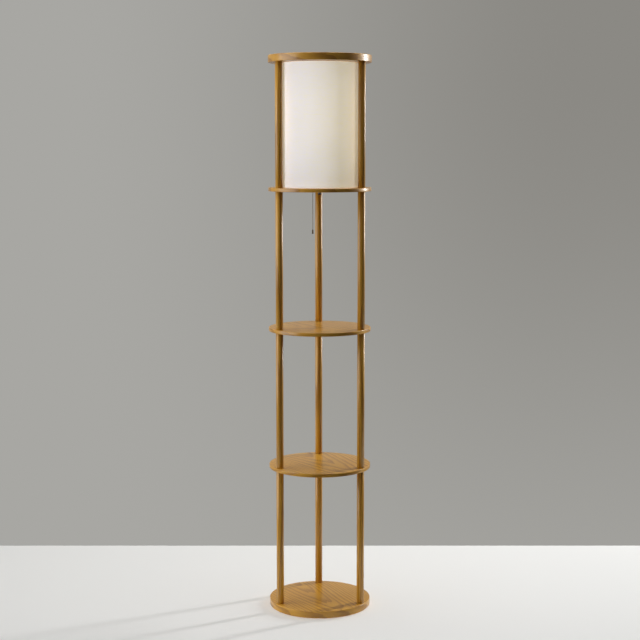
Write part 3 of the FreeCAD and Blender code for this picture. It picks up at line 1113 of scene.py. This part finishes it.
@dataclass
class Lampholder:
    """The pipe stack, the pull-chain lampholder and the bulb."""

    fittings: tuple[Fitting, ...] = (
        Fitting("lower_pipe_nut", Slot.ZINC_STEEL, 0.3 * MM),
        Fitting("upper_pipe_nut", Slot.ZINC_STEEL, 0.3 * MM),
        Fitting("pipe_washer", Slot.ZINC_STEEL, 0.25 * MM),
        Fitting("stem_tube", Slot.SATIN_STEEL, 0.3 * MM),
        Fitting("cord_bushing", Slot.NYLON, 0.25 * MM),
        Fitting("socket_cap", Slot.PHENOLIC, 0.5 * MM),
        Fitting("socket_body", Slot.PHENOLIC, 0.5 * MM),
        Fitting("pull_lever", Slot.CONTACT_BRASS, 0.12 * MM, Body.LEVER),
    )
    globe_neck_radius: float = 14.5 * MM
    globe_neck_rise: float = 6.0 * MM
    globe_fullness: float = 1.6
    globe_bands: int = 14
    globe_head_bands: int = 16
    globe_steps: int = 72

    def build(self, finishes: Finishes) -> None:
        """Builds every fitting and the bulb's globe.

        Args:
            finishes: The lamp's finishes.
        """
        for fitting in self.fittings:
            fitting.build(finishes)
        self.globe(finishes)

    def globe(self, finishes: Finishes) -> bpy.types.Object:
        """Builds the opal globe: a straight neck that swells smoothly into a round head.

        Args:
            finishes: The lamp's finishes.

        Returns:
            The globe.
        """
        extent = Extent.of("bulb_globe")
        head, neck = extent.radius, self.globe_neck_radius
        equator = extent.top - head
        start = extent.bottom + self.globe_neck_rise
        profile = [(0.0, extent.bottom), (neck, extent.bottom)]
        for k in range(self.globe_bands):
            share = k / self.globe_bands
            swell = math.sin(share * math.pi / 2) ** self.globe_fullness
            profile.append((neck + (head - neck) * swell, start + (equator - start) * share))
        profile += arc((0.0, equator), head, 0, 90, self.globe_head_bands)
        shape = Shape()
        shape.turn(profile, self.globe_steps)
        obj = shape.piece("opal_globe", finishes.of(Slot.BULB_OPAL), smooth_below=50)
        return seat(obj, Body.LAMP, Slot.BULB_OPAL, "bulb_globe")


# ---- the pull chain ----------------------------------------------------------------------
@dataclass
class PullChain:
    """The bead chain above and below the shade plate, and its fob."""

    bead_radius: float = 1.2 * MM
    bead_pitch: float = 3.4 * MM
    bead_segments: int = 14
    bead_rings: int = 9
    top_link: float = 5.2 * MM
    link_radius: float = 0.35 * MM
    link_sides: int = 8
    fob_tip_radius: float = 0.91 * MM
    fob_eye_radius: float = 1.3 * MM
    fob_waist_radius: float = 2.2 * MM
    fob_shoulder: float = 3.0 * MM
    fob_flare: float = 4.5 * MM
    fob_rounding: float = 0.5 * MM
    fob_shoulder_steps: int = 5
    fob_flare_steps: int = 6
    fob_steps: int = 32

    def build(self, finishes: Finishes) -> None:
        """Builds both runs of chain and the fob.

        Args:
            finishes: The lamp's finishes.
        """
        upper, lower = Extent.of("upper_chain"), Extent.of("lower_chain")
        top_bead = upper.top - self.bead_radius
        swivel = upper.bottom + self.bead_radius
        first = top_bead - self.top_link
        count = round((first - swivel) / self.bead_pitch)
        beads = [top_bead] + [first - (first - swivel) * k / count for k in range(count + 1)]
        self.run("bead_chain_above", "upper_chain", Body.CHAIN, beads, (swivel, top_bead), finishes)
        count = round((swivel - lower.bottom) / self.bead_pitch)
        beads = [swivel - (swivel - lower.bottom) * k / count for k in range(1, count)]
        self.run("bead_chain_below", "lower_chain", Body.PENDANT, beads, (lower.bottom, lower.top), finishes)
        self.fob(finishes)

    def run(self, name: str, node: str, body: Body, beads: list[float], links: Point,
            finishes: Finishes) -> bpy.types.Object:
        """Builds one straight run of beads on short links.

        Args:
            name: The piece's name.
            node: The CAD node that it stands for.
            body: The body that it rides on.
            beads: Levels of the beads' centres.
            links: Levels of the links' lower and upper ends.
            finishes: The lamp's finishes.

        Returns:
            The run.
        """
        line = Extent.of(node).centre
        bottom, top = links
        shape = Shape()
        for level in beads:
            place = Matrix.Translation((line.x, line.y, level))
            bmesh.ops.create_uvsphere(shape.bm, u_segments=self.bead_segments, v_segments=self.bead_rings,
                                      radius=self.bead_radius, matrix=place)
        middle = Matrix.Translation((line.x, line.y, (bottom + top) / 2))
        bmesh.ops.create_cone(shape.bm, cap_ends=True, segments=self.link_sides, radius1=self.link_radius,
                              radius2=self.link_radius, depth=top - bottom, matrix=middle)
        obj = shape.piece(name, finishes.of(Slot.CHAIN_NICKEL), smooth_below=60)
        return seat(obj, body, Slot.CHAIN_NICKEL, node)

    def fob(self, finishes: Finishes) -> bpy.types.Object:
        """Builds the turned fob: a rounded shoulder, a slim waist and a bell-shaped foot.

        Args:
            finishes: The lamp's finishes.

        Returns:
            The fob.
        """
        extent = Extent.of("chain_fob")
        top, bottom, foot = extent.top, extent.bottom, extent.radius
        eye, waist, rounding = self.fob_eye_radius, self.fob_waist_radius, self.fob_rounding
        profile = [(0.0, top), (self.fob_tip_radius, top), (eye, top - rounding)]
        profile += arc((eye, top - self.fob_shoulder), waist - eye, 80, 0, self.fob_shoulder_steps)
        flare_top = bottom + self.fob_flare
        for k in range(self.fob_flare_steps + 1):
            share = k / self.fob_flare_steps
            level = flare_top + (bottom + rounding - flare_top) * share
            profile.append((waist + (foot - waist) * share ** 2, level))
        profile += [(foot - rounding, bottom), (0.0, bottom)]
        shape = Shape()
        shape.turn(profile, self.fob_steps, extent.centre)
        obj = shape.piece("turned_fob", finishes.of(Slot.FOB_BRONZE), smooth_below=50)
        return seat(obj, Body.PENDANT, Slot.FOB_BRONZE, "chain_fob")


def dress_the_rest(frame: dict, finishes: Finishes) -> None:
    """Gives every CAD node that still shows the finish of its slot.

    Args:
        frame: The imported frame.
        finishes: The lamp's finishes.
    """
    slots = {part["node"]: Slot(part["material_slot"]) for part in frame["record"]["subparts"]}
    for node, obj in frame["nodes"].items():
        if not obj.hide_render:
            obj.data.materials.clear()
            obj.data.materials.append(finishes.of(slots[node]))
            log.info("%-20s CAD form, finish %s", node, slots[node].value)


# ---- the studio --------------------------------------------------------------------------
FLOOR = ("floor",)
DRUM = ("linen_drum",)


@dataclass(frozen=True)
class Softbox:
    """An area light that the camera doesn't see, with the flags that keep it to some pieces."""

    name: str
    place: Triple
    target: Triple
    size: Point
    power: float
    colour: Triple = (1.0, 1.0, 1.0)
    spread: float = 180.0
    kept_off: tuple[str, ...] = ()
    only_on: tuple[str, ...] = ()
    shaded_by: tuple[str, ...] = ()

    def build(self) -> None:
        """Hangs the light and sets its flags."""
        data = bpy.data.lights.new(self.name, "AREA")
        data.shape = "RECTANGLE"
        data.size, data.size_y = self.size
        data.energy = self.power
        data.color = self.colour
        data.spread = math.radians(self.spread)
        obj = bpy.data.objects.new(self.name, data)
        obj.location = self.place
        aim = Vector(self.target) - Vector(self.place)
        obj.rotation_euler = aim.to_track_quat("-Z", "Y").to_euler()
        obj.visible_camera = False
        bpy.context.scene.collection.objects.link(obj)
        if self.kept_off:
            obj.light_linking.receiver_collection = self._group("_flagged", self.kept_off, "EXCLUDE")
        if self.only_on:
            obj.light_linking.receiver_collection = self._group("_lit", self.only_on, "INCLUDE")
        if self.shaded_by:
            obj.light_linking.blocker_collection = self._group("_shading", self.shaded_by, "INCLUDE")

    def _group(self, ending: str, members: tuple[str, ...], state: str) -> bpy.types.Collection:
        """Makes a collection for light linking.

        Args:
            ending: The ending of its name.
            members: The names of its objects.
            state: Whether the light includes or excludes them.

        Returns:
            The collection, which isn't part of the scene.
        """
        made = bpy.data.collections.new(self.name + ending)
        for member in members:
            made.objects.link(bpy.data.objects[member])
        for item in made.collection_objects:
            item.light_linking.link_state = state
        return made


@dataclass(frozen=True)
class Beam:
    """A narrow beam for the drum alone, which leaves the limb beside a post in the dark.

    It comes from an azimuth in degrees from +X, and reaches to both sides of the lamp's axis, the left of its
    way first.
    """

    name: str
    azimuth: float
    reach: Point
    power: float
    colour: Triple
    spread: float
    level: float = 1.4
    distance: float = 0.3
    height: float = 0.5

    def build(self) -> None:
        """Hangs the beam's lamp close to the drum."""
        turn = math.radians(self.azimuth)
        out = Vector((math.cos(turn), math.sin(turn), 0.0))
        side = Vector((-math.sin(turn), math.cos(turn), 0.0))
        left, right = self.reach
        target = side * (left + right) / 2 + UP * self.level
        place = target + out * self.distance
        Softbox(self.name, tuple(place), tuple(target), (right - left, self.height), self.power, self.colour,
                self.spread, only_on=DRUM, shaded_by=DRUM).build()


@dataclass
class Studio:
    """Floor, wall, lights and camera. A fade is the stretch, in metres, over which a colour changes."""

    floor_colour: Colour = tone(233, 233, 231)
    floor_far: Colour = tone(90, 90, 89)
    floor_fade: Point = (1.2, 2.4)
    floor_front_fade: Point = (0.38, 0.62)
    wall_left: Colour = tone(168, 167, 163)
    wall_right: Colour = tone(139, 137, 132)
    wall_side_fade: Point = (-0.85, 0.85)
    wall_rise_fade: Point = (-0.5, 1.6)
    wall_even_share: float = 0.12
    wall_distance: float = 0.61
    backdrop_size: float = 6.0
    air_colour: Colour = tone(236, 238, 242)
    air_strength: float = 0.11
    camera_place: Triple = (0.0006, -4.048, 1.330)
    camera_pitch: float = 0.1206
    focal_pixels: float = 1420.5
    picture_pixels: float = 640.0
    sensor_width: float = 36.0
    softboxes: tuple[Softbox, ...] = (
        Softbox("top_softbox", (-0.1, 0.3, 3.6), (0.0, 0.0, 0.6), (3.0, 2.0), 100.0, kept_off=DRUM + FLOOR),
        Softbox("floor_wash", (0.0, 0.3, 3.6), (0.0, 0.2, 0.0), (3.0, 2.0), 102.0,
                only_on=FLOOR, shaded_by=FLOOR),
        Softbox("left_softbox", (-2.45, -0.65, 1.25), (0.0, 0.0, 1.0), (2.2, 2.2), 52.0,
                kept_off=DRUM + FLOOR),
        Softbox("right_strip", (2.6, 1.5, 1.75), (0.0, 0.0, 1.2), (0.16, 1.5), 84.0, kept_off=DRUM + FLOOR),
        Softbox("floor_strip", (2.6, 1.5, 1.75), (0.0, 0.0, 1.2), (0.16, 1.5), 44.0, only_on=FLOOR),
        Softbox("back_wash", (0.0, 2.5, 1.4), (0.0, 0.0, 1.4), (0.2, 1.0), 30.0,
                only_on=DRUM, shaded_by=DRUM),
    )
    beams: tuple[Beam, ...] = (
        Beam("shade_wash", 212.0, (-14 * MM, 236 * MM), 0.267, (0.74, 0.80, 1.0), 1.0),
        Beam("shade_fill", 328.0, (-236 * MM, 14 * MM), 0.0965, (1.0, 1.0, 0.92), 2.5),
    )

    def build(self) -> None:
        """Builds the whole stage."""
        bpy.context.scene.view_settings.view_transform = "Standard"
        self.floor()
        self.wall()
        self.air()
        for light in self.softboxes + self.beams:
            light.build()
        self.camera()

    def floor(self) -> None:
        """Builds the matt floor, pale round the lamp, which takes its shadows."""
        recipe = Recipe("floor")
        across, along, _ = recipe.parts(recipe.place())
        distance = (across * across + along * along).root()
        far = (distance.ramp(*self.floor_fade) + (0.0 - along).ramp(*self.floor_front_fade)).at_most_one()
        colour = recipe.mix(far, self.floor_colour, self.floor_far)
        self.backdrop("floor", recipe, recipe.shader("ShaderNodeBsdfDiffuse", {"Color": colour}),
                      Matrix.Identity(4))

    def wall(self) -> None:
        """Builds the grey wall, which shows as plain light with painted shade: a little darker to the right
        and high up.
        """
        recipe = Recipe("wall")
        side, _, level = recipe.parts(recipe.place())
        rise = level.ramp(*self.wall_rise_fade) * (1 - self.wall_even_share) + self.wall_even_share
        colour = recipe.mix(side.ramp(*self.wall_side_fade) * rise, self.wall_left, self.wall_right)
        shown = recipe.shader("ShaderNodeEmission", {"Color": colour, "Strength": 1.0})
        matt = recipe.shader("ShaderNodeBsdfDiffuse", {"Color": self.wall_right})
        path = recipe.add("ShaderNodeLightPath")
        seen = recipe.signal(path, "Is Camera Ray") + recipe.signal(path, "Is Glossy Ray")
        seen = (seen + recipe.signal(path, "Is Transmission Ray")).at_most_one()
        mixed = recipe.shader("ShaderNodeMixShader", {0: seen, 1: matt, 2: shown})
        upright = Matrix.Translation((0, self.wall_distance, 0)) @ Matrix.Rotation(math.pi / 2, 4, "X")
        self.backdrop("wall", recipe, mixed, upright)

    def backdrop(self, name: str, recipe: Recipe, front: Signal, place: Matrix) -> None:
        """Builds a large face that shows from its front only.

        Args:
            name: Its name.
            recipe: Its material in the making.
            front: The shader of its front.
            place: Where it stands; its front is the face's own +Z.
        """
        clear = recipe.shader("ShaderNodeBsdfTransparent")
        behind = recipe.signal(recipe.add("ShaderNodeNewGeometry"), "Backfacing")
        material = recipe.close(recipe.shader("ShaderNodeMixShader", {0: behind, 1: front, 2: clear}))
        shape = Shape()
        bmesh.ops.create_grid(shape.bm, x_segments=1, y_segments=1, size=self.backdrop_size, matrix=place)
        obj = shape.piece(name, material)
        obj.visible_shadow = False

    def air(self) -> None:
        """Adds even pale light from all round."""
        world = bpy.data.worlds.new("studio")
        world.use_nodes = True
        shader = world.node_tree.nodes["Background"]
        shader.inputs["Color"].default_value = self.air_colour
        shader.inputs["Strength"].default_value = self.air_strength
        bpy.context.scene.world = world

    def camera(self) -> None:
        """Builds the camera at the photograph's distance, height and tilt."""
        data = bpy.data.cameras.new("camera")
        data.sensor_fit = "HORIZONTAL"
        data.sensor_width = self.sensor_width
        data.lens = self.sensor_width * self.focal_pixels / self.picture_pixels
        obj = bpy.data.objects.new("camera", data)
        obj.location = self.camera_place
        obj.rotation_euler = (math.pi / 2 - self.camera_pitch, 0.0, 0.0)
        bpy.context.scene.collection.objects.link(obj)
        bpy.context.scene.camera = obj


def main() -> None:
    """Builds the lamp, piece by piece, and its stage."""
    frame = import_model()
    drum = Extent.of("shade_drum")
    finishes = Finishes(drum.top - drum.bottom)
    Timber().build(finishes)
    Shade().build(finishes)
    Foot().build(finishes)
    Lampholder().build(finishes)
    PullChain().build(finishes)
    dress_the_rest(frame, finishes)
    Studio().build()


if __name__ == "__main__":
    main()
